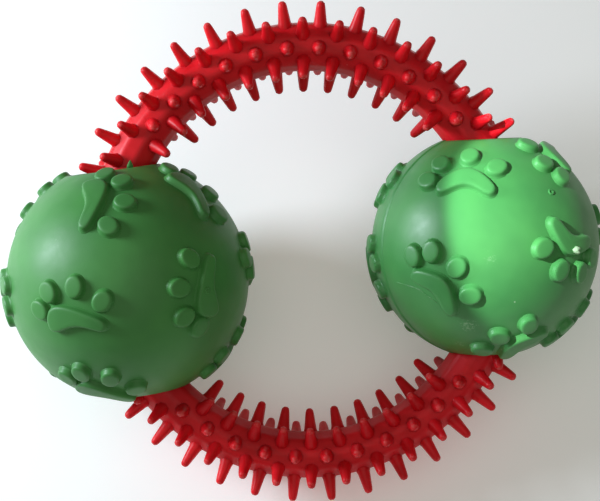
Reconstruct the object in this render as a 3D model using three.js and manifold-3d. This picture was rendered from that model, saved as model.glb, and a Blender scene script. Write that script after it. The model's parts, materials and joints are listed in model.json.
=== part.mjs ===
// Chew ring dog toy: a spiky rubber ring threaded through two hollow rubber balls with raised paw prints.
// Millimetres, +Z up. The ring is first laid out flat, in X and Y, with the balls at its left and right.
// The whole toy is then tilted to the way it lies on a floor: on one flat pad of each ball and on the
// spikes of the ring's near side. The origin is on that floor, below the middle of the toy.

import * as THREE from 'three';
import { mergeVertices } from 'three/addons/utils/BufferGeometryUtils.js';
import Module from 'manifold-3d';

const wasm = await Module();
wasm.setup();

// Ring: a round rubber bar bent into a slightly tall oval
const ringHalfWidth = 56.2;
const ringHalfHeight = 58.8;
const barRadius = 6.6;
const barSides = 10;
const barRoll = -12;

// The bar is made of two equal half rings, plugged into each other inside the balls
const seamAngle = 3.5;
const seamGap = 0.3;
const pegRadius = 2.6;
const pegLength = 7;
const pegSides = 8;
const pegClearance = 0.3;

// Spikes: rows along the flats of the bar, except the two flats on its parting lines
const spikesPerHalf = 20;
const stepsPerSpike = 2;
const spikeLength = 6.9;
const spikeBaseRadius = 1.9;
const spikeTipRadius = 1.05;
const spikeRoot = 2;
const spikeSides = 4;
const spikeLeans = [0, 15, 30, 45];
const spikeClearance = 0.4;
const spikeChecks = 12;

// Balls: hollow shells with an open mouth at each end of the bore
const ballWall = 4.5;
const ballSegments = 24;
const outerArcSteps = 10;
const innerArcSteps = 8;
const mouthClearance = 0.4;
const mouthStep = 0.1;
const lipRound = 1;

// Paw prints: one broad pad and four toes, flat on top. The toes are placed across and ahead of the pad's
// middle, and stand nearer its left end.
const padHeight = 1.8;
const padRoot = 2.2;
const padSides = 12;
const toeRadius = 3;
const toeTaper = 0.5;
const toeSides = 6;
const toePlaces = [[-11.5, 0.8], [-8.6, 6.4], [-0.6, 8.8], [7.4, 5.6]];

// Each ball's place on the ring, the shape of its pads and its prints. A pad is bent round the toes and
// swells from its waist to both ends, with a lobe that makes the left end fuller. A print is given by its
// longitude round the bore from the upper side of the toy, its latitude towards the far mouth, and its
// heading clockwise from that mouth. No print reaches over the bare lip round a mouth.
const leftBall = {
  name: 'left_ball',
  side: -1,
  angle: 8.5,
  inset: 4.4,
  radius: 34.5,
  bareLip: 1,
  pad: { width: 17.4, waist: 5, swell: 1.2, lobe: 0.7, bend: 1.6, heel: 1.2 },
  prints: [
    { longitude: -7, latitude: 43, heading: 97 },
    { longitude: -18.5, latitude: -9.5, heading: 12 },
    { longitude: 43.5, latitude: -4, heading: -80 },
    { longitude: -24, latitude: -54.5, heading: 42 },
    { longitude: 59, latitude: 40, heading: 96 },
    { longitude: -86, latitude: 5, heading: 170 },
    { longitude: 97, latitude: -4, heading: 20 },
    { longitude: -112, latitude: 44, heading: 95 },
    { longitude: 98, latitude: -46, heading: -40 },
    { longitude: 152, latitude: 38, heading: 140 },
    { longitude: -142, latitude: 0, heading: 60 },
    { longitude: -110, latitude: -48, heading: -30 },
  ],
};
const rightBall = {
  name: 'right_ball',
  side: 1,
  angle: 2.65,
  inset: 5.2,
  radius: 32.3,
  bareLip: 3.3,
  pad: { width: 16.4, waist: 5.8, swell: 0.5, lobe: 0.05, bend: 3.3, heel: 2 },
  prints: [
    { longitude: -16.5, latitude: 36, heading: 5 },
    { longitude: -31.5, latitude: -16.5, heading: 50 },
    { longitude: 36.5, latitude: 4.5, heading: -153 },
    { longitude: 20, latitude: -54, heading: -58 },
    { longitude: 64, latitude: 51, heading: -47 },
    { longitude: -105, latitude: 41, heading: 178 },
    { longitude: -94, latitude: -12, heading: 125 },
    { longitude: 100, latitude: -5, heading: 60 },
    { longitude: 86, latitude: -46, heading: -40 },
    { longitude: 152, latitude: 34, heading: 160 },
    { longitude: -142, latitude: 4, heading: 100 },
    { longitude: -125, latitude: -50, heading: -30 },
  ],
};

// At rest each ball stands on one more print, whose broad pad lies along the bore
const restHeading = -90;
const floorRounds = 20;

const redRubber = { color: 0xc4202a, roughness: 0.45, metalness: 0 };
const greenRubber = { color: 0x4a9a55, roughness: 0.42, metalness: 0 };

const radians = THREE.MathUtils.degToRad;
const yAxis = new THREE.Vector3(0, 1, 0);
const zAxis = new THREE.Vector3(0, 0, 1);
const barCornerRadius = barRadius / Math.cos(Math.PI / barSides);

// A closed three.js geometry, put in its place, as a solid that can be joined and cut
function solid(geometry, place = new THREE.Matrix4()) {
  const bare = geometry.clone().applyMatrix4(place);
  bare.deleteAttribute('normal');
  bare.deleteAttribute('uv');
  const merged = mergeVertices(bare, 1e-4);
  return new wasm.Manifold(new wasm.Mesh({
    numProp: 3,
    vertProperties: new Float32Array(merged.attributes.position.array),
    triVerts: new Uint32Array(merged.index.array),
  }));
}

function meshFrom(body, name, finish) {
  const { vertProperties, triVerts } = body.getMesh();
  const geometry = new THREE.BufferGeometry();
  geometry.setAttribute('position', new THREE.BufferAttribute(vertProperties, 3));
  geometry.setIndex(new THREE.BufferAttribute(triVerts, 1));
  geometry.computeVertexNormals();
  const mesh = new THREE.Mesh(geometry, new THREE.MeshStandardMaterial(finish));
  mesh.name = name;
  return mesh;
}

// A place whose Z axis points along outward and whose Y axis leans towards forward
function placeAt(origin, outward, forward) {
  const up = outward.clone().normalize();
  const across = forward.clone().cross(up).normalize();
  const along = up.clone().cross(across);
  return new THREE.Matrix4().makeBasis(across, along, up).setPosition(origin);
}

// A tapered post along Z, from its foot at the first height to its top at the second
function post(footRadius, topRadius, foot, top, sides) {
  const squareOn = Math.PI / sides;
  const geometry = new THREE.CylinderGeometry(topRadius, footRadius, top - foot, sides, 1, false, squareOn);
  return geometry.rotateX(Math.PI / 2).translate(0, 0, (foot + top) / 2);
}

// The middle line of the bar, and its outward direction and run at an angle round the ring
function ringPoint(angle) {
  const turn = radians(angle);
  const reach = Math.hypot(ringHalfHeight * Math.cos(turn), ringHalfWidth * Math.sin(turn));
  const radius = (ringHalfWidth * ringHalfHeight) / reach;
  return new THREE.Vector3(radius * Math.cos(turn), radius * Math.sin(turn), 0);
}

function ringOutward(angle) {
  const point = ringPoint(angle);
  return new THREE.Vector3(point.x / ringHalfWidth ** 2, point.y / ringHalfHeight ** 2, 0).normalize();
}

function ringRun(angle) {
  return zAxis.clone().cross(ringOutward(angle));
}

// The direction that a flat of the bar faces, turned from outward towards the upper side
function flatAngle(flat) {
  return radians(barRoll) + (2 * Math.PI * flat) / barSides;
}

// The bar's section, on the sweep's own axes: X points to the lower side and Y to the middle of the ring
function barSection() {
  const corners = [];
  for (let flat = 0; flat < barSides; flat += 1) {
    const corner = flatAngle(flat + 0.5);
    corners.push(new THREE.Vector2(-Math.sin(corner), -Math.cos(corner)).multiplyScalar(barCornerRadius));
  }
  return new THREE.Shape(corners);
}

class HalfRingLine extends THREE.Curve {
  constructor(start, end) {
    super();
    this.start = start;
    this.end = end;
  }

  getPoint(share) {
    return ringPoint(THREE.MathUtils.lerp(this.start, this.end, share));
  }
}

// Balls: their centre and the direction of their bore
function ballCentre(ball) {
  const back = ringOutward(ball.angle).multiplyScalar(-ball.inset);
  return ringPoint(ball.angle).add(back).multiplyScalar(ball.side);
}

function ballTurn(ball) {
  const outward = ringOutward(ball.angle);
  return Math.atan2(outward.y, outward.x);
}

function boreAxis(ball) {
  return yAxis.clone().applyAxisAngle(zAxis, ballTurn(ball));
}

// How far the inner edge of a mouth's lip lies from the middle of the bore
function lipHeight(ball, mouth) {
  return Math.sqrt(ball.radius ** 2 - (mouth + lipRound) ** 2) - lipRound;
}

// A mouth is just wide enough for the bent bar, which leans on the inner edge of the lip
function mouthRadius(ball) {
  const centre = ballCentre(ball);
  const axis = boreAxis(ball);
  const ballAngle = ball.side > 0 ? ball.angle : ball.angle + 180;
  let widest = barRadius;
  for (let angle = ballAngle - 90; angle <= ballAngle + 90; angle += mouthStep) {
    for (const edge of [-barCornerRadius, barCornerRadius]) {
      const point = ringPoint(angle).add(ringOutward(angle).multiplyScalar(edge)).sub(centre);
      const along = point.dot(axis);
      const across = point.addScaledVector(axis, -along).length();
      const mouth = across + mouthClearance;
      const isPastHollow = Math.hypot(along, mouth) > ball.radius - ballWall;
      if (isPastHollow && mouth + lipRound < ball.radius && Math.abs(along) < lipHeight(ball, mouth)) {
        widest = Math.max(widest, mouth);
      }
    }
  }
  return widest;
}

leftBall.mouth = mouthRadius(leftBall);
rightBall.mouth = mouthRadius(rightBall);

// How far the ends of a ball's flat pads reach from its centre as it turns
function padReach(ball) {
  return Math.hypot(ball.radius + padHeight, ball.pad.width / 2);
}

// A point of a spike is free of a ball where it is outside the turning ball, in its hollow or in its bore
function isFreeOfBall(ball, point, thickness) {
  const fromCentre = point.clone().sub(ballCentre(ball));
  const distance = fromCentre.length();
  const along = fromCentre.dot(boreAxis(ball));
  const across = Math.sqrt(Math.max(distance ** 2 - along ** 2, 0));
  const margin = thickness + spikeClearance;
  const isByLip = across + margin < ball.mouth + ball.bareLip;
  const outside = isByLip ? ball.radius : padReach(ball);
  const inHollow = distance + margin < ball.radius - ballWall;
  const inBore = across + margin < ball.mouth;
  return distance - margin > outside || inHollow || inBore;
}

function spikeIsFree(foot, outward) {
  for (let check = 0; check <= spikeChecks; check += 1) {
    const share = check / spikeChecks;
    const point = foot.clone().addScaledVector(outward, share * spikeLength);
    const thickness = THREE.MathUtils.lerp(spikeBaseRadius, spikeTipRadius, share);
    if (![leftBall, rightBall].every((ball) => isFreeOfBall(ball, point, thickness))) {
      return false;
    }
  }
  return true;
}

// A spike stands straight, or else leans away from the nearer ball, whose lip folds it over
function leanedWays(outward, away) {
  return spikeLeans.map((lean) => (
    outward.clone().multiplyScalar(Math.cos(radians(lean))).addScaledVector(away, Math.sin(radians(lean)))
  ));
}

// Spikes of one half ring, as places on the bar. Rows that lie side by side alternate by half a pitch.
function spikePlaces(line) {
  const places = [];
  for (let flat = 0; flat < barSides; flat += 1) {
    const isPartingLine = flat % (barSides / 2) === 0;
    const firstPlace = flat % 2 === 0 ? 0.75 : 0.25;
    for (let place = firstPlace; place < spikesPerHalf && !isPartingLine; place += 1) {
      const run = line.getTangentAt(place / spikesPerHalf);
      const outward = run.clone().cross(zAxis).applyAxisAngle(run, -flatAngle(flat));
      const foot = line.getPointAt(place / spikesPerHalf).addScaledVector(outward, barRadius);
      const away = run.clone().multiplyScalar(place < spikesPerHalf / 2 ? 1 : -1);
      const way = leanedWays(outward, away).find((leaned) => spikeIsFree(foot, leaned));
      if (way) {
        places.push(placeAt(foot, way, run));
      }
    }
  }
  return places;
}

// One half ring: the bar, its spikes, a peg on its far end and a socket for the other half's peg
function halfRing(startAngle) {
  const endAngle = startAngle + 180;
  const gapAngle = THREE.MathUtils.radToDeg(seamGap / 2 / ringPoint(startAngle).length());
  const line = new HalfRingLine(startAngle + gapAngle, endAngle - gapAngle);
  const bar = new THREE.ExtrudeGeometry(barSection(), {
    steps: spikesPerHalf * stepsPerSpike,
    extrudePath: line,
  });
  const spike = post(spikeBaseRadius, spikeTipRadius, -spikeRoot, spikeLength, spikeSides);
  const spikes = spikePlaces(line).map((place) => solid(spike, place));
  const pegPlace = placeAt(ringPoint(endAngle), ringRun(endAngle), zAxis);
  const peg = solid(post(pegRadius, pegRadius, -pegLength, pegLength, pegSides), pegPlace);
  const socketRadius = pegRadius + pegClearance;
  const socketDepth = pegLength + pegClearance;
  const socketPlace = placeAt(ringPoint(startAngle), ringRun(startAngle), zAxis);
  const socket = solid(post(socketRadius, socketRadius, -socketDepth, socketDepth, pegSides), socketPlace);
  return wasm.Manifold.union([solid(bar), peg, ...spikes]).subtract(socket);
}

// A ball's shell, turned about its bore: outer face, far lip, hollow and near lip. The bore and the hollow
// are drawn a little wide, so that the flats between their corners keep clear of the bar and its spikes.
function shellProfile(ball) {
  const facetSpread = 1 / Math.cos(Math.PI / ballSegments);
  const mouth = ball.mouth * facetSpread;
  const innerEnd = Math.acos(mouth / (ball.radius - ballWall));
  const stepSpread = 1 / Math.cos(innerEnd / innerArcSteps);
  const hollow = (ball.radius - ballWall) * facetSpread * stepSpread;
  const outerEnd = Math.acos((mouth + lipRound) / ball.radius);
  const lip = lipHeight(ball, mouth);
  const profile = [];
  for (let step = 0; step <= outerArcSteps; step += 1) {
    const latitude = THREE.MathUtils.lerp(-outerEnd, outerEnd, step / outerArcSteps);
    profile.push(new THREE.Vector2(ball.radius * Math.cos(latitude), ball.radius * Math.sin(latitude)));
  }
  profile.push(new THREE.Vector2(mouth, lip));
  for (let step = 0; step <= innerArcSteps; step += 1) {
    const latitude = THREE.MathUtils.lerp(innerEnd, -innerEnd, step / innerArcSteps);
    profile.push(new THREE.Vector2(hollow * Math.cos(latitude), hollow * Math.sin(latitude)));
  }
  profile.push(new THREE.Vector2(mouth, -lip));
  profile.push(profile[0].clone());
  return profile;
}

function padOutline(pad) {
  const points = [];
  for (let side = 0; side < padSides; side += 1) {
    const turn = (2 * Math.PI * side) / padSides;
    const across = Math.cos(turn);
    const ahead = Math.sin(turn);
    const swelling = 1 + pad.swell * across ** 2 - pad.lobe * across;
    points.push(new THREE.Vector2(
      (pad.width / 2) * across,
      (pad.waist / 2) * swelling * ahead + pad.bend * ahead ** 4 - pad.heel,
    ));
  }
  return new THREE.Shape(points);
}

// One print on a ball: the broad pad and its toes, each standing square to the ball. A toe that would
// reach the bare lip of a mouth is left out.
function pawPrint(ball, outward, forward) {
  const centre = new THREE.Vector3();
  const foot = ball.radius - padRoot;
  const top = ball.radius + padHeight;
  const pad = new THREE.ExtrudeGeometry(padOutline(ball.pad), { depth: top - foot, bevelEnabled: false });
  const toe = post(toeRadius, toeRadius - toeTaper, foot, top, toeSides);
  const padPlace = placeAt(centre, outward, forward);
  const bareRadius = ball.mouth + ball.bareLip;
  const toewards = toePlaces
    .map(([across, ahead]) => new THREE.Vector3(across, ahead, ball.radius).applyMatrix4(padPlace))
    .filter((toeward) => Math.hypot(toeward.x, toeward.z) - toeRadius > bareRadius);
  const toes = toewards.map((toeward) => solid(toe, placeAt(centre, toeward, forward)));
  return [solid(pad.translate(0, 0, foot), padPlace), ...toes];
}

function printOutward({ longitude, latitude }) {
  const around = radians(longitude);
  const up = radians(latitude);
  return new THREE.Vector3(Math.sin(around) * Math.cos(up), Math.sin(up), Math.cos(around) * Math.cos(up));
}

function printForward(outward, heading) {
  const east = yAxis.clone().cross(outward).normalize();
  const north = outward.clone().cross(east);
  return north.applyAxisAngle(outward, -radians(heading));
}

function ballShell(ball, restOutward) {
  const shell = new THREE.LatheGeometry(shellProfile(ball), ballSegments);
  const faces = ball.prints.map((print) => [printOutward(print), print.heading]);
  faces.push([restOutward, restHeading]);
  const pads = faces.flatMap(([outward, heading]) => (
    pawPrint(ball, outward, printForward(outward, heading))
  ));
  return wasm.Manifold.union([solid(shell), ...pads]);
}

// The floor's upward direction: the floor touches both balls' pads and the lowest spike of the near half
function floorUp(nearHalf) {
  const points = [];
  const { vertProperties } = nearHalf.getMesh();
  for (let at = 0; at < vertProperties.length; at += 3) {
    points.push(new THREE.Vector3().fromArray(vertProperties, at));
  }
  let up = zAxis.clone();
  for (let round = 0; round < floorRounds; round += 1) {
    const lowest = points.reduce((low, point) => (point.dot(up) < low.dot(up) ? point : low));
    const left = ballCentre(leftBall).sub(lowest);
    const right = ballCentre(rightBall).sub(lowest);
    const leftReach = leftBall.radius + padHeight;
    const rightReach = rightBall.radius + padHeight;
    const normal = right.clone().cross(left);
    const spread = normal.lengthSq();
    const leftShare = (leftReach * right.lengthSq() - rightReach * left.dot(right)) / spread;
    const rightShare = (rightReach * left.lengthSq() - leftReach * left.dot(right)) / spread;
    const flat = left.multiplyScalar(leftShare).addScaledVector(right, rightShare);
    const rise = Math.sqrt((1 - flat.lengthSq()) / spread);
    up = flat.addScaledVector(normal, rise);
  }
  return up;
}

const upperHalf = halfRing(seamAngle);
const lowerHalf = halfRing(seamAngle + 180);
const up = floorUp(lowerHalf);

const laidFlat = new THREE.Group();
laidFlat.add(meshFrom(upperHalf, 'upper_half_ring', redRubber));
laidFlat.add(meshFrom(lowerHalf, 'lower_half_ring', redRubber));
for (const ball of [leftBall, rightBall]) {
  const turn = ballTurn(ball);
  const restOutward = up.clone().negate().applyAxisAngle(zAxis, -turn);
  const mesh = meshFrom(ballShell(ball, restOutward), ball.name, greenRubber);
  mesh.position.copy(ballCentre(ball));
  mesh.rotation.z = turn;
  laidFlat.add(mesh);
}

// Tilted to its rest on the floor, with the origin below its middle
laidFlat.quaternion.setFromUnitVectors(up, zAxis);
const toy = new THREE.Group();
toy.add(laidFlat);
const box = new THREE.Box3().setFromObject(toy, true);
const middle = box.getCenter(new THREE.Vector3());
laidFlat.position.set(-middle.x, -middle.y, -box.min.z);

export default toy;
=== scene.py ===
import json
import math

import bmesh
import bpy
from mathutils import Matrix, Vector

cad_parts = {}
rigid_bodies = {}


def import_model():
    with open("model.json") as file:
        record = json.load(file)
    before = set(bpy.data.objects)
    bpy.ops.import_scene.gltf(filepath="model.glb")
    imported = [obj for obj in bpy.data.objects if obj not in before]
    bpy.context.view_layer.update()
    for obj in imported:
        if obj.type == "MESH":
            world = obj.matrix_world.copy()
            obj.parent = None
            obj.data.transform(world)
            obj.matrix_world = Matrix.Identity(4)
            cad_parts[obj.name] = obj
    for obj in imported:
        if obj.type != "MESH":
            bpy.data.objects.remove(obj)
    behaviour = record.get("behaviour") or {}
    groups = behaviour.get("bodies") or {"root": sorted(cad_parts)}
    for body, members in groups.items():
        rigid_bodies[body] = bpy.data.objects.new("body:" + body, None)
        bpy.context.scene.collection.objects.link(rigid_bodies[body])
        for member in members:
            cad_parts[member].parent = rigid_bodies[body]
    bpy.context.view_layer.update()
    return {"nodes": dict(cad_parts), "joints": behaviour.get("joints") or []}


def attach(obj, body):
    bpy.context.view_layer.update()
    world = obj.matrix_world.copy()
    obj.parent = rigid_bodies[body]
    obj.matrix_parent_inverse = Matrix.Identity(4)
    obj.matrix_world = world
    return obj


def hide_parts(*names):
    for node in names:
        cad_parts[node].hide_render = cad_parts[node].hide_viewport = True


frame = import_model()
mm = 0.001
yAxis = Vector((0, 1, 0))
zAxis = Vector((0, 0, 1))
print("frame loaded:", ", ".join(sorted(frame["nodes"])))


def addNode(tree, kind, settings=None, links=None):
    node = tree.nodes.new(kind)
    for key, value in (settings or {}).items():
        setattr(node, key, value)
    for key, value in (links or {}).items():
        if isinstance(value, bpy.types.NodeSocket):
            tree.links.new(value, node.inputs[key])
        else:
            node.inputs[key].default_value = value
    return node


def linearColour(code):
    channels = [int(code[at:at + 2], 16) / 255 for at in (1, 3, 5)]
    return [c / 12.92 if c <= 0.04045 else ((c + 0.055) / 1.055) ** 2.4 for c in channels] + [1]


# the ring as it lies in the flat, in millimetres: X to the right ball, Y away, Z up out of the ring
ring = {
    "halfWidth": 56.2,
    "halfHeight": 58.8,
    "barRadius": 6.6,      # to a flat
    "barFlats": 10,
    "stepsToCorner": 2,    # from the middle of a flat
    "barSteps": 168,
    "partingRidge": 0.08,  # flash left by the mould along the bar's outer and inner edge
    "seamAngle": 3.5,      # degrees, where the half rings meet inside the balls
    "seamGap": 0.3,
}


def ringPoint(angle):
    turn = math.radians(angle)
    reach = math.hypot(ring["halfHeight"] * math.cos(turn), ring["halfWidth"] * math.sin(turn))
    radius = ring["halfWidth"] * ring["halfHeight"] / reach
    return Vector((radius * math.cos(turn), radius * math.sin(turn), 0))


def ringOutward(point):
    return Vector((point.x / ring["halfWidth"] ** 2, point.y / ring["halfHeight"] ** 2, 0)).normalized()


# the balls on it; prints are longitude round the bore, latitude towards the far mouth, heading, all in degrees
leftBall = {
    "body": "left_ball",
    "joint": "left_ball_spin",
    "side": -1,
    "angle": 8.5,
    "inset": 4.4,
    "radius": 34.5,
    "mouth": 12.6,
    "bareLip": 1,          # no print reaches this near to a mouth
    "pad": {"width": 17.4, "waist": 5, "swell": 1.2, "lobe": 0.7, "bend": 1.6, "heel": 1.2},
    "seam": None,
    "prints": (
        (-7, 43, 97), (-18.5, -9.5, 12), (43.5, -4, -80), (-24, -54.5, 42), (59, 40, 96), (-86, 5, 170),
        (97, -4, 20), (-112, 44, 95), (98, -46, -40), (152, 38, 140), (-142, 0, 60), (-110, -48, -30),
    ),
    "marks": (("Pip", 42, -5.5, 0, 1.75), ("Tag", 31, 69, 20, 0)),   # longitude, latitude, heading, lift
    "scuffs": ((-29, 25, 9, 0.3), (12, 5, 3, 0.35)),                 # longitude, latitude, size, strength
    "flowLine": (),
}
rightBall = {
    "body": "right_ball",
    "joint": "right_ball_spin",
    "side": 1,
    "angle": 2.65,
    "inset": 5.2,
    "radius": 32.3,
    "mouth": 10.6,
    "bareLip": 3.3,
    "pad": {"width": 16.4, "waist": 5.8, "swell": 0.5, "lobe": 0.05, "bend": 3.3, "heel": 2},
    "seam": -68,           # longitude of the mould's parting line
    "prints": (
        (-16.5, 36, 5), (-31.5, -16.5, 50), (36.5, 4.5, -153), (20, -54, -58), (64, 51, -47), (-105, 41, 178),
        (-94, -12, 125), (100, -5, 60), (86, -46, -40), (152, 34, 160), (-142, 4, 100), (-125, -50, -30),
    ),
    "marks": (("Nib", 38, -0.5, 0, 1.7), ("Pip", 32.6, 28.5, 0, 0)),
    "scuffs": ((-19, -38, 6, 0.5), (-31, -53, 5, 0.45), (-4, -2, 5, 0.4)),
    "flowLine": ((-58, -14.3), (-49, -15.8), (-42.5, -17.6), (-38, -21), (-34, -24)),
}


def ballMatrix(ball):
    point = ringPoint(ball["angle"])
    outward = ringOutward(point)
    centre = (point - outward * ball["inset"]) * ball["side"]
    return Matrix.Translation(centre) @ Matrix.Rotation(math.atan2(outward.y, outward.x), 4, "Z")


def basis(across, up):
    x = across.normalized()
    y = up.cross(x).normalized()
    return Matrix((x, y, x.cross(y))).transposed()


# the joints say where the flat layout goes in the frame
def layMatrix():
    joints = {joint["name"]: joint for joint in frame["joints"]}
    flatLeft = ballMatrix(leftBall).translation
    flatRight = ballMatrix(rightBall).translation
    left = Vector(joints[leftBall["joint"]]["pos_m"])
    right = Vector(joints[rightBall["joint"]]["pos_m"])
    bore = Vector(joints[leftBall["joint"]]["axis"])
    turn = basis(right - left, (right - left).cross(bore)) @ basis(flatRight - flatLeft, zAxis).transposed()
    return Matrix.Translation(left - turn @ flatLeft * mm) @ turn.to_4x4() @ Matrix.Scale(mm, 4)


laid = layMatrix()
floorUp = (laid.to_3x3().transposed() @ zAxis).normalized()
print("layout placed, ring tilted", round(math.degrees(math.acos(floorUp.z)), 1), "degrees")


def meshObject(name, points, faces, edges=()):
    mesh = bpy.data.meshes.new(name)
    mesh.from_pydata(points, edges, faces)
    mesh.shade_smooth()
    piece = bpy.data.objects.new(name, mesh)
    bpy.context.scene.collection.objects.link(piece)
    return piece


def outwardFaces(piece):
    sheet = bmesh.new()
    sheet.from_mesh(piece.data)
    bmesh.ops.recalc_face_normals(sheet, faces=sheet.faces)
    sheet.to_mesh(piece.data)
    sheet.free()
    return piece


def pointValues(piece, name, kind, values):
    attribute = piece.data.attributes.new(name, kind, "POINT")
    for slot, value in zip(attribute.data, values):
        if kind == "FLOAT":
            slot.value = value
        else:
            slot.vector = value


# the evaluated piece as a plain mesh in its place in the frame; the working objects go
def plainMesh(worker, name, place, helpers):
    graph = bpy.context.evaluated_depsgraph_get()
    mesh = bpy.data.meshes.new_from_object(worker.evaluated_get(graph))
    mesh.transform(place)
    mesh.name = name
    for old in (worker, *helpers):
        bpy.data.objects.remove(old)
    piece = bpy.data.objects.new(name, mesh)
    bpy.context.scene.collection.objects.link(piece)
    return piece


def setInputs(modifier, values):
    for item in modifier.node_group.interface.items_tree:
        if item.in_out == "INPUT" and item.name in values:
            modifier[item.identifier] = values[item.name]


# Rubber, compression moulded: a body colour under a waxy half gloss, duller where it has been handled, with
# the low waves and fine grain of its mould, a few specks of dust, and a paler bloom where it is torn or
# scuffed;
# on the spike tips that paleness is partly chewed wear and partly a painted highlight
def mouldedRubber(name, look):
    material = bpy.data.materials.new(name)
    material.use_nodes = True
    tree = material.node_tree
    shader = tree.nodes["Principled BSDF"]
    where = addNode(tree, "ShaderNodeTexCoord").outputs["Object"]
    cloud = addNode(tree, "ShaderNodeTexNoise", {}, {
        "Vector": where, "Scale": 1 / (look["cloudSize"] * mm), "Detail": 3, "Roughness": 0.55})
    body = addNode(tree, "ShaderNodeValToRGB", {}, {"Fac": cloud.outputs["Fac"]})
    body.color_ramp.elements[0].position = 0.32
    body.color_ramp.elements[0].color = linearColour(look["deep"])
    body.color_ramp.elements[1].position = 0.7
    body.color_ramp.elements[1].color = linearColour(look["light"])
    specks = addNode(tree, "ShaderNodeTexVoronoi", {}, {
        "Vector": where, "Scale": 1 / (look["speckSpacing"] * mm), "Randomness": 1})
    isSpeck = addNode(tree, "ShaderNodeMapRange", {}, {
        "Value": specks.outputs["Distance"], "From Min": 0.035, "From Max": 0.02,
        "To Min": 0, "To Max": look["dust"]})
    dusty = addNode(tree, "ShaderNodeMix", {"data_type": "RGBA"}, {
        "Factor": isSpeck.outputs["Result"], 6: body.outputs["Color"], 7: linearColour(look["pale"])})
    # paleness from the mesh: real scuffs, flash and torn nib on the balls; on the spike tips partly chewed
    # wear, partly painted highlight
    worn = addNode(tree, "ShaderNodeAttribute", {"attribute_name": "worn"})
    rub = addNode(tree, "ShaderNodeTexNoise", {}, {
        "Vector": where, "Scale": 1 / (look["rubSize"] * mm), "Detail": 4, "Roughness": 0.65})
    reach = addNode(tree, "ShaderNodeMath", {"operation": "ADD"}, {
        0: worn.outputs["Fac"], 1: rub.outputs["Fac"]})
    wearAndSheenShare = addNode(tree, "ShaderNodeMapRange", {}, {
        "Value": reach.outputs["Value"], "From Min": 0.85, "From Max": 1.3,
        "To Min": 0, "To Max": look["wearAndSheenShare"]})
    wearAndSheenColour = addNode(tree, "ShaderNodeMix", {"data_type": "RGBA"}, {
        "Factor": wearAndSheenShare.outputs["Result"], 6: dusty.outputs[2], 7: linearColour(look["pale"])})
    handled = addNode(tree, "ShaderNodeTexNoise", {}, {
        "Vector": where, "Scale": 1 / (look["handledSize"] * mm), "Detail": 4, "Roughness": 0.6})
    gloss = addNode(tree, "ShaderNodeMapRange", {}, {
        "Value": handled.outputs["Fac"], "From Min": 0.3, "From Max": 0.7,
        "To Min": look["roughness"][0], "To Max": look["roughness"][1]})
    waves = addNode(tree, "ShaderNodeTexNoise", {}, {
        "Vector": where, "Scale": 1 / (look["waveSize"] * mm), "Detail": 1})
    wavy = addNode(tree, "ShaderNodeBump", {}, {
        "Height": waves.outputs["Fac"], "Strength": 1, "Distance": look["waveDepth"] * mm})
    grain = addNode(tree, "ShaderNodeTexNoise", {}, {
        "Vector": where, "Scale": 1 / (look["grainSize"] * mm), "Detail": 2})
    grainy = addNode(tree, "ShaderNodeBump", {}, {
        "Height": grain.outputs["Fac"], "Strength": 0.3, "Distance": look["grainDepth"] * mm,
        "Normal": wavy.outputs["Normal"]})
    tree.links.new(wearAndSheenColour.outputs[2], shader.inputs["Base Color"])
    tree.links.new(gloss.outputs["Result"], shader.inputs["Roughness"])
    tree.links.new(grainy.outputs["Normal"], shader.inputs["Normal"])
    shader.inputs["IOR"].default_value = 1.52
    shader.inputs["Specular IOR Level"].default_value = look["specular"]
    shader.inputs["Subsurface Weight"].default_value = look["translucence"]
    shader.inputs["Subsurface Radius"].default_value = (1, 0.25, 0.2)
    shader.inputs["Subsurface Scale"].default_value = 3 * mm
    return material


redRubber = mouldedRubber("redMouldedRubber", {
    "deep": "#cc101a", "light": "#e81c28", "pale": "#ec8f8a",
    "cloudSize": 9, "speckSpacing": 7, "dust": 0.35, "rubSize": 0.9, "wearAndSheenShare": 0.55,
    "waveSize": 4, "waveDepth": 0.08, "grainSize": 0.5, "grainDepth": 0.05,
    "handledSize": 5, "roughness": (0.34, 0.5), "specular": 0.22, "translucence": 0.3,
})
leftGreenRubber = mouldedRubber("leftGreenMouldedRubber", {
    "deep": "#3d7d3d", "light": "#488d44", "pale": "#b9d8b4",
    "cloudSize": 22, "speckSpacing": 9, "dust": 0.4, "rubSize": 0.7, "wearAndSheenShare": 0.6,
    "waveSize": 7, "waveDepth": 0.12, "grainSize": 0.6, "grainDepth": 0.05,
    "handledSize": 8, "roughness": (0.42, 0.54), "specular": 0.36, "translucence": 0,
})
# the right ball's green is mixed a little lighter and greener than the left ball's: painted light, for the
# brighter light that falls on it
rightGreenRubberPaintedLight = mouldedRubber("rightGreenMouldedRubber", {
    "deep": "#3a8142", "light": "#46944a", "pale": "#c3e3b9",
    "cloudSize": 22, "speckSpacing": 8, "dust": 0.4, "rubSize": 0.7, "wearAndSheenShare": 0.6,
    "waveSize": 7, "waveDepth": 0.1, "grainSize": 0.6, "grainDepth": 0.05,
    "handledSize": 8, "roughness": (0.38, 0.5), "specular": 0.5, "translucence": 0,
})
print("rubbers mixed")


# a turned shape about Y: profile points are radius and height, columns are longitudes in degrees from Z
def turned(name, profile, columns, closed, growth=None):
    points, faces = [], []
    rows = len(profile)
    for longitude in columns:
        turn = math.radians(longitude)
        for radius, height in profile:
            grown = 1 + (growth(longitude, radius, height) if growth else 0)
            points.append((grown * radius * math.sin(turn), grown * height, grown * radius * math.cos(turn)))
    for column in range(len(columns)):
        here = column * rows
        there = (column + 1) % len(columns) * rows
        for row in range(rows if closed else rows - 1):
            after = (row + 1) % rows
            faces.append((here + row, there + row, there + after, here + after))
    if not closed:
        faces.append(tuple(column * rows for column in range(len(columns))))
        faces.append(tuple(column * rows + rows - 1 for column in range(len(columns))))
    return outwardFaces(meshObject(name, points, faces))


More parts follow.
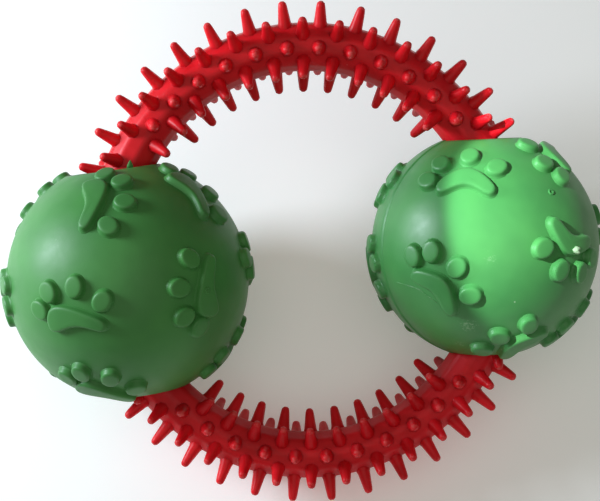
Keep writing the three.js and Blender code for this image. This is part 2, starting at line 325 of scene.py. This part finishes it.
def evenColumns(count):
    return [360 * column / count - 180 for column in range(count)]


# a small post that stands along Z
def standing(name, profile, sides, growth=None):
    piece = turned(name, profile, evenColumns(sides), False, growth)
    piece.data.transform(Matrix.Rotation(math.pi / 2, 4, "X"))
    return piece


shell = {
    "wall": 4.5,
    "lipRound": 0.7,
    "lipFullness": 0.2,    # 0 a chamfer, 1 a full round; the bent bar leans over the lip
    "columns": 96,
    "outerSteps": 44,
    "innerSteps": 20,
    "lipSteps": 5,
    "seamStep": 0.22,      # how far one mould half stands proud at the parting line
    "seamLow": 0.05,       # degrees on either side of the line, between which it steps up
    "seamHigh": 0.35,
    "seamFade": 20,        # degrees over which that dies away
    "skin": 0.01,          # points this near to the outside belong to it
}


# half of the ball's section from its equator: outside, rounded lip, hollow; then the same mirrored
def wallProfile(ball):
    outside, mouth, lip = ball["radius"], ball["mouth"], shell["lipRound"]
    inside = outside - shell["wall"]
    outerEnd = math.acos((mouth + lip) / outside)
    innerEnd = math.acos(mouth / inside)
    outerTurns = [outerEnd * step / shell["outerSteps"] for step in range(shell["outerSteps"] + 1)]
    innerTurns = [innerEnd * step / shell["innerSteps"] for step in range(shell["innerSteps"], -1, -1)]
    half = [(outside * math.cos(turn), outside * math.sin(turn)) for turn in outerTurns]
    rim, edge = half[-1], (mouth, half[-1][1] - lip)
    sharp = (mouth, math.sqrt(outside ** 2 - mouth ** 2))
    full = shell["lipFullness"]
    corner = [(rim[at] + edge[at]) / 2 * (1 - full) + sharp[at] * full for at in (0, 1)]
    for step in range(1, shell["lipSteps"] + 1):
        far = step / shell["lipSteps"]
        near = 1 - far
        half.append(tuple(
            near ** 2 * rim[at] + 2 * far * near * corner[at] + far ** 2 * edge[at] for at in (0, 1)))
    half += [(inside * math.cos(turn), inside * math.sin(turn)) for turn in innerTurns]
    return half + [(radius, -height) for radius, height in half[-2:0:-1]]


def outwardAt(longitude, latitude):
    around, up = math.radians(longitude), math.radians(latitude)
    return Vector((math.sin(around) * math.cos(up), math.sin(up), math.cos(around) * math.cos(up)))


def makeWall(ball, name):
    columns = evenColumns(shell["columns"])
    growth = None
    if ball["seam"] is not None:
        columns = sorted(columns + [ball["seam"] - shell["seamHigh"], ball["seam"] + shell["seamLow"]])

        def growth(longitude, radius, height):
            beyond = ball["seam"] - longitude
            isOuter = math.hypot(radius, height) > ball["radius"] - shell["skin"]
            fade = max(0, 1 - beyond / shell["seamFade"]) if beyond > shell["seamLow"] else 0
            return shell["seamStep"] / ball["radius"] * fade if isOuter else 0

    wall = turned(name + "Wall", wallProfile(ball), columns, True, growth)
    wear = []
    for point in wall.data.vertices:
        worn = 0
        for longitude, latitude, size, strength in ball["scuffs"]:
            away = (point.co - outwardAt(longitude, latitude) * ball["radius"]).length
            worn = max(worn, strength * (1 - away / size))
        wear.append(worn)
    pointValues(wall, "worn", "FLOAT", wear)
    return wall


paw = {
    "height": 1.8,
    "padSides": 48,
    "toeLong": 3.2,
    "toeShort": 2.7,
    "toeSides": 24,
    "toes": ((-11.5, 0.8), (-8.6, 6.4), (-0.6, 8.8), (7.4, 5.6)),   # across and ahead of the pad's middle
    "heel": 5,             # toes point away from this far behind the pad's middle
    "restHeading": -90,    # of the print that the ball lies on
    "edge": (              # out from the outline, up from the ball
        (0.45, -0.7), (0.38, 0.02), (0.14, 0.2), (0.02, 0.5),
        (-0.08, 1.25), (-0.24, 1.58), (-0.55, 1.76), (-1, 1.8),
    ),
    "topLoops": (0.66, 0.33),   # shares of the way out from the middle
}


# a low cushion that lies on the ball: the outline, moved in and raised step by step, then closed on top
def cushion(name, outline, middle, radius):
    count = len(outline)
    outs = []
    for at in range(count):
        run = outline[(at + 1) % count] - outline[at - 1]
        outs.append(Vector((run.y, -run.x)).normalized())
    loops = [[outline[at] + outs[at] * offset for at in range(count)] for offset, height in paw["edge"]]
    heights = [height for offset, height in paw["edge"]]
    for share in paw["topLoops"]:
        loops.append([middle + (point - middle) * share for point in loops[len(paw["edge"]) - 1]])
        heights.append(paw["height"])
    points = []
    for loop, height in zip(loops, heights):
        points += [(p.x, p.y, math.sqrt((radius + height) ** 2 - p.length_squared)) for p in loop]
    points.append((middle.x, middle.y, math.sqrt((radius + paw["height"]) ** 2 - middle.length_squared)))
    faces = []
    for low in range(0, (len(loops) - 1) * count, count):
        for at in range(count):
            after = (at + 1) % count
            faces.append((low + at, low + after, low + count + after, low + count + at))
    last = (len(loops) - 1) * count
    faces += [(last + at, last + (at + 1) % count, len(points) - 1) for at in range(count)]
    return meshObject(name, points, faces)


# a bean bent round the toes, that swells from its waist to both ends, most to the left one
def makePad(ball, name):
    pad = ball["pad"]
    outline = []
    for side in range(paw["padSides"]):
        turn = 2 * math.pi * side / paw["padSides"]
        across, ahead = math.cos(turn), math.sin(turn)
        swelling = 1 + pad["swell"] * across ** 2 - pad["lobe"] * across
        outline.append(Vector((
            pad["width"] / 2 * across,
            pad["waist"] / 2 * swelling * ahead + pad["bend"] * ahead ** 4 - pad["heel"])))
    return cushion(name + "Pad", outline, Vector((0, pad["bend"] - pad["heel"])), ball["radius"])


def makeToe(ball, name):
    turns = [2 * math.pi * side / paw["toeSides"] for side in range(paw["toeSides"])]
    outline = [Vector((paw["toeShort"] * math.cos(turn), paw["toeLong"] * math.sin(turn))) for turn in turns]
    return cushion(name + "Toe", outline, Vector((0, 0)), ball["radius"])


# what the mould left behind: a pip of air, the torn nib of the gate, a tag and a line of flash
mark = {
    "sides": 9,
    "pip": ((1.05, -0.3), (0.95, 0.2), (0.7, 0.35), (0.4, 0.05), (0.15, 0)),   # radius, height
    "nib": ((1.2, -0.4), (1.05, 0.35), (0.85, 0.9), (0.4, 1.2)),
    "nibRagged": 0.25,
    "nibLobes": 3,
    "nibTwist": 50,        # degrees for each millimetre up
    "tag": ((0.95, -0.6), (0.85, 0.3), (0.5, 1.1), (0.15, 1.8)),
    "tagThickness": 0.4,
    "lineRadius": 0.13,
    "lineSides": 6,
    "lineWorn": 0.4,
}


def makeMarks(ball, name):
    pip = standing(name + "Pip", mark["pip"], mark["sides"])
    nib = standing(name + "Nib", mark["nib"], mark["sides"], lambda longitude, radius, height: (
        mark["nibRagged"] * math.sin(math.radians(mark["nibLobes"] * longitude + mark["nibTwist"] * height))))
    pointValues(nib, "worn", "FLOAT", [1] * len(nib.data.vertices))
    tag = standing(name + "Tag", mark["tag"], mark["sides"])
    tag.data.transform(Matrix.Diagonal((1, mark["tagThickness"], 1, 1)))
    path = [outwardAt(*place) * ball["radius"] for place in ball["flowLine"]]
    line = meshObject(name + "Line", path, [], [(at, at + 1) for at in range(len(path) - 1)])
    return {"Pip": pip, "Nib": nib, "Tag": tag, "Line": line}


stamps = ("Pad", "Toe", "Pip", "Nib", "Tag")


# every pad, toe and mark of a ball: its kind, the way that it faces, the way that it points and its lift
def stampPlaces(ball, restOutward):
    faces = [(outwardAt(longitude, latitude), heading) for longitude, latitude, heading in ball["prints"]]
    faces.append((restOutward, paw["restHeading"]))
    places = []
    for outward, heading in faces:
        east = yAxis.cross(outward).normalized()
        forward = Matrix.Rotation(-math.radians(heading), 3, outward) @ outward.cross(east)
        right = forward.cross(outward)
        places.append((stamps.index("Pad"), outward, forward, 0))
        for across, ahead in paw["toes"]:
            toeward = outward * ball["radius"] + right * across + forward * ahead
            if math.hypot(toeward.x, toeward.z) - paw["toeLong"] > ball["mouth"] + ball["bareLip"]:
                pointing = right * across + forward * (ahead + paw["heel"])
                places.append((stamps.index("Toe"), toeward.normalized(), pointing, 0))
    for kind, longitude, latitude, heading, lift in ball["marks"]:
        outward = outwardAt(longitude, latitude)
        pointing = Matrix.Rotation(-math.radians(heading), 3, outward) @ yAxis
        places.append((stamps.index(kind), outward, pointing, ball["radius"] + lift))
    return places


def stampedBallTree():
    tree = bpy.data.node_groups.new("stampedBall", "GeometryNodeTree")
    tree.interface.new_socket("Places", in_out="INPUT", socket_type="NodeSocketGeometry")
    for name in (*stamps, "Line", "Wall"):
        tree.interface.new_socket(name, in_out="INPUT", socket_type="NodeSocketObject")
    for name in ("Line Radius", "Line Worn"):
        tree.interface.new_socket(name, in_out="INPUT", socket_type="NodeSocketFloat")
    tree.interface.new_socket("Rubber", in_out="INPUT", socket_type="NodeSocketMaterial")
    tree.interface.new_socket("Ball", in_out="OUTPUT", socket_type="NodeSocketGeometry")
    enter = addNode(tree, "NodeGroupInput").outputs

    # stamps stand square to the ball and turn to the way that they point
    kind = addNode(tree, "GeometryNodeInputNamedAttribute", {"data_type": "FLOAT"}, {"Name": "kind"})
    outward, pointing = (
        addNode(tree, "GeometryNodeInputNamedAttribute", {"data_type": "FLOAT_VECTOR"}, {"Name": name})
        for name in ("outward", "pointing"))
    facing = addNode(tree, "FunctionNodeAlignRotationToVector", {"axis": "Z"}, {
        "Vector": outward.outputs["Attribute"]})
    aimed = addNode(tree, "FunctionNodeAlignRotationToVector", {"axis": "Y", "pivot_axis": "Z"}, {
        "Rotation": facing.outputs["Rotation"], "Vector": pointing.outputs["Attribute"]})
    joined = addNode(tree, "GeometryNodeJoinGeometry")
    for order, name in enumerate(stamps):
        isKind = addNode(tree, "FunctionNodeCompare", {"operation": "EQUAL"}, {
            0: kind.outputs["Attribute"], 1: order, "Epsilon": 0.1})
        shape = addNode(tree, "GeometryNodeObjectInfo", {}, {"Object": enter[name], "As Instance": True})
        stamped = addNode(tree, "GeometryNodeInstanceOnPoints", {}, {
            "Points": enter["Places"], "Selection": isKind.outputs["Result"],
            "Instance": shape.outputs["Geometry"], "Rotation": aimed.outputs["Rotation"]})
        tree.links.new(stamped.outputs["Instances"], joined.inputs["Geometry"])

    # flash: a thin smooth thread along its path
    path = addNode(tree, "GeometryNodeObjectInfo", {}, {"Object": enter["Line"]})
    thread = addNode(tree, "GeometryNodeMeshToCurve", {}, {"Mesh": path.outputs["Geometry"]})
    eased = addNode(tree, "GeometryNodeCurveSplineType", {"spline_type": "CATMULL_ROM"}, {
        "Curve": thread.outputs["Curve"]})
    section = addNode(tree, "GeometryNodeCurvePrimitiveCircle", {}, {
        "Resolution": mark["lineSides"], "Radius": enter["Line Radius"]})
    flash = addNode(tree, "GeometryNodeCurveToMesh", {}, {
        "Curve": eased.outputs["Curve"], "Profile Curve": section.outputs["Curve"], "Fill Caps": True})
    pale = addNode(tree, "GeometryNodeStoreNamedAttribute", {"data_type": "FLOAT", "domain": "POINT"}, {
        "Geometry": flash.outputs["Mesh"], "Name": "worn", "Value": enter["Line Worn"]})
    tree.links.new(pale.outputs["Geometry"], joined.inputs["Geometry"])
    wall = addNode(tree, "GeometryNodeObjectInfo", {}, {"Object": enter["Wall"]})
    tree.links.new(wall.outputs["Geometry"], joined.inputs["Geometry"])
    real = addNode(tree, "GeometryNodeRealizeInstances", {}, {"Geometry": joined.outputs["Geometry"]})
    coated = addNode(tree, "GeometryNodeSetMaterial", {}, {
        "Geometry": real.outputs["Geometry"], "Material": enter["Rubber"]})
    addNode(tree, "NodeGroupOutput", {}, {"Ball": coated.outputs["Geometry"]})
    return tree


stampedBall = stampedBallTree()


def makeBall(ball, name, rubber):
    place = ballMatrix(ball)
    shapes = {
        "Wall": makeWall(ball, name), "Pad": makePad(ball, name), "Toe": makeToe(ball, name),
        **makeMarks(ball, name),
    }
    places = stampPlaces(ball, place.to_3x3().transposed() @ -floorUp)
    worker = meshObject(name + "Places", [outward * lift for kind, outward, pointing, lift in places], [])
    pointValues(worker, "kind", "FLOAT", [kind for kind, outward, pointing, lift in places])
    pointValues(worker, "outward", "FLOAT_VECTOR", [outward for kind, outward, pointing, lift in places])
    pointValues(worker, "pointing", "FLOAT_VECTOR", [pointing for kind, outward, pointing, lift in places])
    modifier = worker.modifiers.new("stamps", "NODES")
    modifier.node_group = stampedBall
    setInputs(modifier, {
        **shapes, "Line Radius": mark["lineRadius"], "Line Worn": mark["lineWorn"], "Rubber": rubber})
    piece = plainMesh(worker, name, laid @ place, shapes.values())
    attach(piece, ball["body"])
    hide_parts(ball["body"])
    print(name, len(piece.data.polygons), "faces,", len(places), "pads, toes and marks")


makeBall(leftBall, "leftBall", leftGreenRubber)
makeBall(rightBall, "rightBall", rightGreenRubberPaintedLight)


spike = {
    "rowRoll": -12,        # degrees from straight outwards to the first row
    "perRow": 20,          # on each half ring
    "stationsPerPitch": 4,
    "lineSteps": 3600,     # for measuring along the middle line
    "leans": (0, 15, 30, 45),   # degrees, tried in turn where a turning ball would fold a spike over
    "clearance": 0.4,
    "length": 6.9,
    "baseRadius": 1.9,
    "tipRadius": 1.05,
    "checks": 12,
    "unevenness": 2.5,     # degrees that a soft spike stands off true
    "seed": 11,
    "sides": 9,
    "profile": ((1.9, -1.7), (2.3, -0.3), (1.85, 0.9), (1.3, 5.5), (1.1, 6.45), (0.6, 6.95)),   # radius, height
    "wearAndSheenFrom": 4.5,       # the tips are paler from here up: partly chewed wear, partly a painted highlight
    "tipWearAndSheen": 0.45,
}


# a point of a spike is free of a ball outside the turning pads, in the hollow or in the bore
def isFreeOfBall(ball, point, thickness):
    local = ballMatrix(ball).inverted() @ point
    across = math.hypot(local.x, local.z)
    margin = thickness + spike["clearance"]
    isByLip = across + margin < ball["mouth"] + ball["bareLip"]
    padReach = math.hypot(ball["radius"] + paw["height"], ball["pad"]["width"] / 2)
    outside = ball["radius"] if isByLip else padReach
    inHollow = local.length + margin < ball["radius"] - shell["wall"]
    return local.length - margin > outside or inHollow or across + margin < ball["mouth"]


def spikeIsFree(foot, way):
    for check in range(spike["checks"] + 1):
        share = check / spike["checks"]
        thickness = spike["baseRadius"] + (spike["tipRadius"] - spike["baseRadius"]) * share
        point = foot + way * spike["length"] * share
        if not all(isFreeOfBall(ball, point, thickness) for ball in (leftBall, rightBall)):
            return False
    return True


# evenly spaced points on the middle line of a half ring, some to each pitch of the spikes
def ringStations(start, sweep):
    steps = spike["lineSteps"]
    points = [ringPoint(start + sweep * step / steps) for step in range(steps + 1)]
    lengths = [0]
    for before, after in zip(points, points[1:]):
        lengths.append(lengths[-1] + (after - before).length)
    count = spike["stationsPerPitch"] * spike["perRow"]
    slack = 1e-9           # for rounding
    stations, at = [], 0
    for station in range(count + 1):
        while lengths[at] < lengths[-1] * station / count - slack:
            at += 1
        stations.append(points[at])
    return stations


# feet of the spikes and the ways that they stand, a row on each flat but the two with the parting ridge;
# rows that lie side by side alternate by half a pitch
def spikePlaces(start, sweep):
    stations = ringStations(start, sweep)
    places = []
    for row in range(ring["barFlats"]):
        if row % (ring["barFlats"] / 2) == 0:
            continue
        pitch = spike["stationsPerPitch"]
        first = pitch // 4 + (pitch // 2 if row % 2 == 0 else 0)
        for station in range(first, len(stations), pitch):
            run = (stations[station + 1] - stations[station - 1]).normalized()
            roll = math.radians(spike["rowRoll"] + 360 * row / ring["barFlats"])
            outward = Matrix.Rotation(-roll, 3, run) @ run.cross(zAxis)
            foot = stations[station] + outward * ring["barRadius"]
            away = run if station < len(stations) / 2 else -run
            for lean in spike["leans"]:
                way = outward * math.cos(math.radians(lean)) + away * math.sin(math.radians(lean))
                if spikeIsFree(foot, way):
                    places.append((foot, way))
                    break
    return places


# the spiked bar of one half ring, from its sizes
def spikedBarTree():
    tree = bpy.data.node_groups.new("spikedBar", "GeometryNodeTree")
    tree.interface.new_socket("Feet", in_out="INPUT", socket_type="NodeSocketGeometry")
    for name in ("Half Width", "Half Height", "Start", "Sweep", "Bar Radius", "Corner Rise", "Roll", "Ridge",
                 "Unevenness"):
        tree.interface.new_socket(name, in_out="INPUT", socket_type="NodeSocketFloat")
    for name in ("Bar Sides", "Bar Steps", "Steps To Corner", "Seed"):
        tree.interface.new_socket(name, in_out="INPUT", socket_type="NodeSocketInt")
    tree.interface.new_socket("Spike", in_out="INPUT", socket_type="NodeSocketObject")
    tree.interface.new_socket("Rubber", in_out="INPUT", socket_type="NodeSocketMaterial")
    tree.interface.new_socket("Bar", in_out="OUTPUT", socket_type="NodeSocketGeometry")
    enter = addNode(tree, "NodeGroupInput").outputs
    here = addNode(tree, "GeometryNodeInputPosition").outputs["Position"]

    # middle line: half an oval, with evenly spaced points
    arc = addNode(tree, "GeometryNodeCurveArc", {}, {
        "Resolution": 360, "Radius": 1, "Start Angle": enter["Start"], "Sweep Angle": enter["Sweep"]})
    size = addNode(tree, "ShaderNodeCombineXYZ", {}, {
        "X": enter["Half Width"], "Y": enter["Half Height"], "Z": 1})
    stretched = addNode(tree, "ShaderNodeVectorMath", {"operation": "MULTIPLY"}, {
        0: here, 1: size.outputs["Vector"]})
    oval = addNode(tree, "GeometryNodeSetPosition", {}, {
        "Geometry": arc.outputs["Curve"], "Position": stretched.outputs["Vector"]})
    pointCount = addNode(tree, "ShaderNodeMath", {"operation": "ADD"}, {0: enter["Bar Steps"], 1: 1})
    line = addNode(tree, "GeometryNodeResampleCurve", {}, {
        "Curve": oval.outputs["Geometry"], "Count": pointCount.outputs["Value"]})

    # section: round with soft flats for the rows, and the mould's parting ridge on its outer and inner flat
    circle = addNode(tree, "GeometryNodeCurvePrimitiveCircle", {}, {
        "Resolution": enter["Bar Sides"], "Radius": enter["Bar Radius"]})
    index = addNode(tree, "GeometryNodeInputIndex")
    outwards = addNode(tree, "ShaderNodeVectorMath", {"operation": "NORMALIZE"}, {0: here})
    share = addNode(tree, "ShaderNodeMath", {"operation": "DIVIDE"}, {
        0: index.outputs["Index"], 1: enter["Steps To Corner"]})
    offMiddle = addNode(tree, "ShaderNodeMath", {"operation": "PINGPONG"}, {0: share.outputs["Value"], 1: 1})
    squared = addNode(tree, "ShaderNodeMath", {"operation": "POWER"}, {0: offMiddle.outputs["Value"], 1: 2})
    cornered = addNode(tree, "ShaderNodeMath", {"operation": "MULTIPLY"}, {
        0: squared.outputs["Value"], 1: enter["Corner Rise"]})
    spread = addNode(tree, "ShaderNodeVectorMath", {"operation": "SCALE"}, {
        0: outwards.outputs["Vector"], "Scale": cornered.outputs["Value"]})
    flatted = addNode(tree, "GeometryNodeSetPosition", {}, {
        "Geometry": circle.outputs["Curve"], "Offset": spread.outputs["Vector"]})
    half = addNode(tree, "ShaderNodeMath", {"operation": "DIVIDE"}, {0: enter["Bar Sides"], 1: 2})
    order = addNode(tree, "ShaderNodeMath", {"operation": "MODULO"}, {
        0: index.outputs["Index"], 1: half.outputs["Value"]})
    isRidge = addNode(tree, "FunctionNodeCompare", {"operation": "LESS_THAN"}, {
        0: order.outputs["Value"], 1: 0.5})
    rise = addNode(tree, "ShaderNodeVectorMath", {"operation": "SCALE"}, {
        0: outwards.outputs["Vector"], "Scale": enter["Ridge"]})
    ridged = addNode(tree, "GeometryNodeSetPosition", {}, {
        "Geometry": flatted.outputs["Geometry"], "Selection": isRidge.outputs["Result"],
        "Offset": rise.outputs["Vector"]})
    rolling = addNode(tree, "ShaderNodeCombineXYZ", {}, {"Z": enter["Roll"]})
    section = addNode(tree, "GeometryNodeTransform", {}, {
        "Geometry": ridged.outputs["Geometry"], "Rotation": rolling.outputs["Vector"]})
    bar = addNode(tree, "GeometryNodeCurveToMesh", {}, {
        "Curve": line.outputs["Curve"], "Profile Curve": section.outputs["Geometry"], "Fill Caps": True})

    # soft spikes never stand quite true
    way = addNode(tree, "GeometryNodeInputNamedAttribute", {"data_type": "FLOAT_VECTOR"}, {"Name": "way"})
    chance = addNode(tree, "FunctionNodeRandomValue", {"data_type": "FLOAT_VECTOR"}, {
        0: (-1, -1, -1), 1: (1, 1, 1), "Seed": enter["Seed"]})
    nudge = addNode(tree, "ShaderNodeVectorMath", {"operation": "SCALE"}, {
        0: chance.outputs[0], "Scale": enter["Unevenness"]})
    stood = addNode(tree, "ShaderNodeVectorMath", {"operation": "ADD"}, {
        0: way.outputs["Attribute"], 1: nudge.outputs["Vector"]})
    upright = addNode(tree, "FunctionNodeAlignRotationToVector", {"axis": "Z"}, {
        "Vector": stood.outputs["Vector"]})
    shape = addNode(tree, "GeometryNodeObjectInfo", {}, {"Object": enter["Spike"], "As Instance": True})
    spikes = addNode(tree, "GeometryNodeInstanceOnPoints", {}, {
        "Points": enter["Feet"], "Instance": shape.outputs["Geometry"],
        "Rotation": upright.outputs["Rotation"]})
    smooth = addNode(tree, "GeometryNodeSetShadeSmooth", {}, {
        "Geometry": bar.outputs["Mesh"], "Shade Smooth": True})
    joined = addNode(tree, "GeometryNodeJoinGeometry", {}, {"Geometry": smooth.outputs["Geometry"]})
    tree.links.new(spikes.outputs["Instances"], joined.inputs["Geometry"])
    real = addNode(tree, "GeometryNodeRealizeInstances", {}, {"Geometry": joined.outputs["Geometry"]})
    coated = addNode(tree, "GeometryNodeSetMaterial", {}, {
        "Geometry": real.outputs["Geometry"], "Material": enter["Rubber"]})
    addNode(tree, "NodeGroupOutput", {}, {"Bar": coated.outputs["Geometry"]})
    return tree


spikedBar = spikedBarTree()


def makeHalfRing(start, name, node):
    gap = math.degrees(ring["seamGap"] / 2 / ringPoint(start).length)
    sweep = 180 - 2 * gap
    squeeze = ring["halfWidth"] / ring["halfHeight"]
    halfTurn = math.radians(start - ring["seamAngle"])
    ovalStart = math.atan(squeeze * math.tan(math.radians(ring["seamAngle"] + gap))) + halfTurn
    needle = standing("needle", spike["profile"], spike["sides"])
    # the spike tips pale towards the point: partly chewed wear, partly a painted highlight
    wearAndSheenLength = spike["profile"][-1][1] - spike["wearAndSheenFrom"]
    pointValues(needle, "worn", "FLOAT", [
        spike["tipWearAndSheen"] * max(0, point.co.z - spike["wearAndSheenFrom"]) / wearAndSheenLength
        for point in needle.data.vertices])
    places = spikePlaces(start + gap, sweep)
    worker = meshObject(name + "Feet", [foot for foot, way in places], [])
    pointValues(worker, "way", "FLOAT_VECTOR", [way for foot, way in places])
    cornerRadius = ring["barRadius"] / math.cos(math.pi / ring["barFlats"])
    modifier = worker.modifiers.new("spikedBar", "NODES")
    modifier.node_group = spikedBar
    setInputs(modifier, {
        "Half Width": ring["halfWidth"], "Half Height": ring["halfHeight"],
        "Start": ovalStart, "Sweep": math.radians(sweep), "Bar Steps": ring["barSteps"],
        "Bar Radius": ring["barRadius"], "Corner Rise": cornerRadius - ring["barRadius"],
        "Bar Sides": 2 * ring["barFlats"] * ring["stepsToCorner"], "Steps To Corner": ring["stepsToCorner"],
        "Roll": math.radians(spike["rowRoll"]), "Ridge": ring["partingRidge"],
        "Unevenness": math.sin(math.radians(spike["unevenness"])), "Seed": spike["seed"],
        "Spike": needle, "Rubber": redRubber,
    })
    piece = plainMesh(worker, name, laid, (needle,))
    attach(piece, "ring")
    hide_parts(node)
    print(name, len(piece.data.polygons), "faces,", len(places), "spikes")


makeHalfRing(ring["seamAngle"], "upperHalfRing", "upper_half_ring")
makeHalfRing(ring["seamAngle"] + 180, "lowerHalfRing", "lower_half_ring")


# camera: held over the toy, looking down at it across the ring's near side
camera = {
    "distance": 400,
    "tip": 4.6,            # degrees from square on to the ring
    "shiftRight": -2.01,
    "shiftUp": 0.69,
    "halfView": 0.2156,    # tangent of half the picture's width
}
tip = math.radians(camera["tip"])
towards = Vector((0, math.sin(tip), math.cos(tip)))
upwards = Vector((0, math.cos(tip), -math.sin(tip)))
rightwards = Vector((1, 0, 0))
eye = towards * camera["distance"] + rightwards * camera["shiftRight"] + upwards * camera["shiftUp"]
lens = bpy.data.cameras.new("camera")
lens.sensor_fit = "HORIZONTAL"
lens.sensor_width = 36
lens.lens = lens.sensor_width / 2 / camera["halfView"]
lens.clip_start = 0.01
viewer = bpy.data.objects.new("camera", lens)
bpy.context.scene.collection.objects.link(viewer)
turn = laid.to_3x3().normalized() @ Matrix((rightwards, upwards, towards)).transposed()
viewer.matrix_world = Matrix.Translation(laid @ eye) @ turn.to_4x4()
bpy.context.scene.camera = viewer


# soft studio light: a window low on the left, a pale ceiling, and a patch of sun on the right ball
def hangLamp(lamp, light, scale):
    lamp.energy = light["power"]
    lamp.color = linearColour(light["colour"])[:3]
    holder = bpy.data.objects.new(lamp.name, lamp)
    bpy.context.scene.collection.objects.link(holder)
    stand = laid @ Vector(light["from"])
    aim = (laid @ Vector(light["to"]) - stand).to_track_quat("-Z", "Y")
    holder.matrix_world = Matrix.LocRotScale(stand, aim, scale)
    return holder


softLights = {
    "windowLight": {
        "from": (-420, 140, 118), "to": (0, 0, 0), "size": 0.16, "power": 2.55, "colour": "#e6f2ff"},
    "ceilingLight": {
        "from": (0, 40, 600), "to": (0, 0, 0), "size": 0.8, "power": 0.92, "colour": "#f8f6ec"},
}
for name, light in softLights.items():
    lamp = bpy.data.lights.new(name, "AREA")
    lamp.shape = "DISK"
    lamp.size = light["size"]
    hangLamp(lamp, light, (1, 1, 1))

sunPatch = {
    "from": (-119.3, 103.9, 224.4),
    "to": (69.5, 5.7, 13.5),
    "cone": 22.6,          # degrees, along the ball
    "narrowing": 0.325,    # across it, as a share
    "blend": 0.5,
    "sunSize": 0.0015,
    "power": 8.8,
    "colour": "#f4f0ff",
    "fallsOn": ("rightBall", "upperHalfRing", "lowerHalfRing"),   # and not on the floor
}
lamp = bpy.data.lights.new("sunPatch", "SPOT")
lamp.spot_size = math.radians(sunPatch["cone"])
lamp.spot_blend = sunPatch["blend"]
lamp.shadow_soft_size = sunPatch["sunSize"]
sun = hangLamp(lamp, sunPatch, (1, sunPatch["narrowing"], 1))
sun.visible_glossy = False   # the rubber stays matt in the sun
sunlit = bpy.data.collections.new("sunlit")
for name in sunPatch["fallsOn"]:
    sunlit.objects.link(bpy.data.objects[name])
sun.light_linking.receiver_collection = sunlit

world = bpy.data.worlds.new("paleRoom")
world.use_nodes = True
room = world.node_tree.nodes["Background"]
room.inputs["Color"].default_value = linearColour("#f5f3e6")
room.inputs["Strength"].default_value = 0.18
bpy.context.scene.world = world
bpy.context.scene.view_settings.view_transform = "Standard"   # colours as they are mixed

# floor: plain pale paper
paper = bpy.data.materials.new("paleFloorPaper")
paper.use_nodes = True
sheet = paper.node_tree.nodes["Principled BSDF"]
sheet.inputs["Base Color"].default_value = linearColour("#f4f4f2")
sheet.inputs["Roughness"].default_value = 0.9
sheet.inputs["Specular IOR Level"].default_value = 0.2
sheet.inputs["Emission Color"].default_value = linearColour("#f4f4f2")
sheet.inputs["Emission Strength"].default_value = 0.2   # lit from below, like a light table
reach = 3   # metres each way
floor = meshObject(
    "floor", [(-reach, -reach, 0), (reach, -reach, 0), (reach, reach, 0), (-reach, reach, 0)], [(0, 1, 2, 3)])
floor.data.materials.append(paper)
print("camera, light and floor set")
